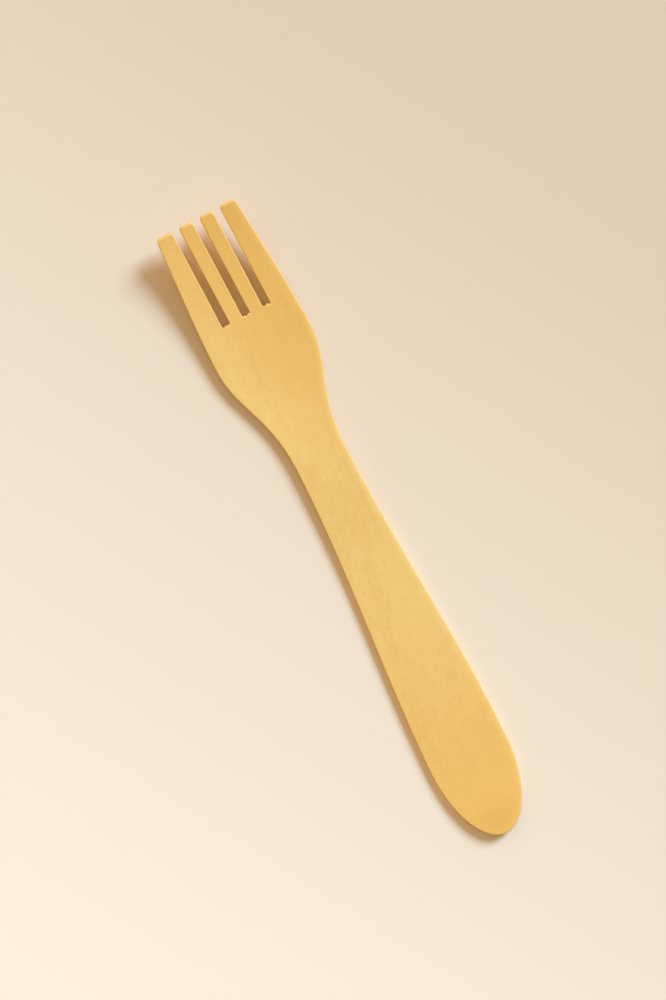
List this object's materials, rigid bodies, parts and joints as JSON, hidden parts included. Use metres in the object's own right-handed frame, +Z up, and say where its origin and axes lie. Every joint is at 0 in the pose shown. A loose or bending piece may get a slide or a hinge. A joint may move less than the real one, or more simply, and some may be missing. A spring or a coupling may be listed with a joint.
{
  "type": "wooden fork",
  "caption": "Disposable wooden fork pressed from birch veneer, with a tapered, round-ended handle and a slightly dished head whose tines sweep upwards.",
  "frame": {"origin": "on the surface that the fork lies on, under the middle of its bounding box", "axes": "+Y along the fork from the handle's round end to the tips of the tines, +Z up from the surface to the dished side, +X to the right seen from above with the tines ahead"},
  "size_m": [0.0244, 0.1602, 0.0079],
  "materials": {
    "birch_veneer": "plain sanded birch, no lacquer"
  },
  "bodies": {
    "root": {"fork": "birch_veneer"}
  },
  "joints": []
}
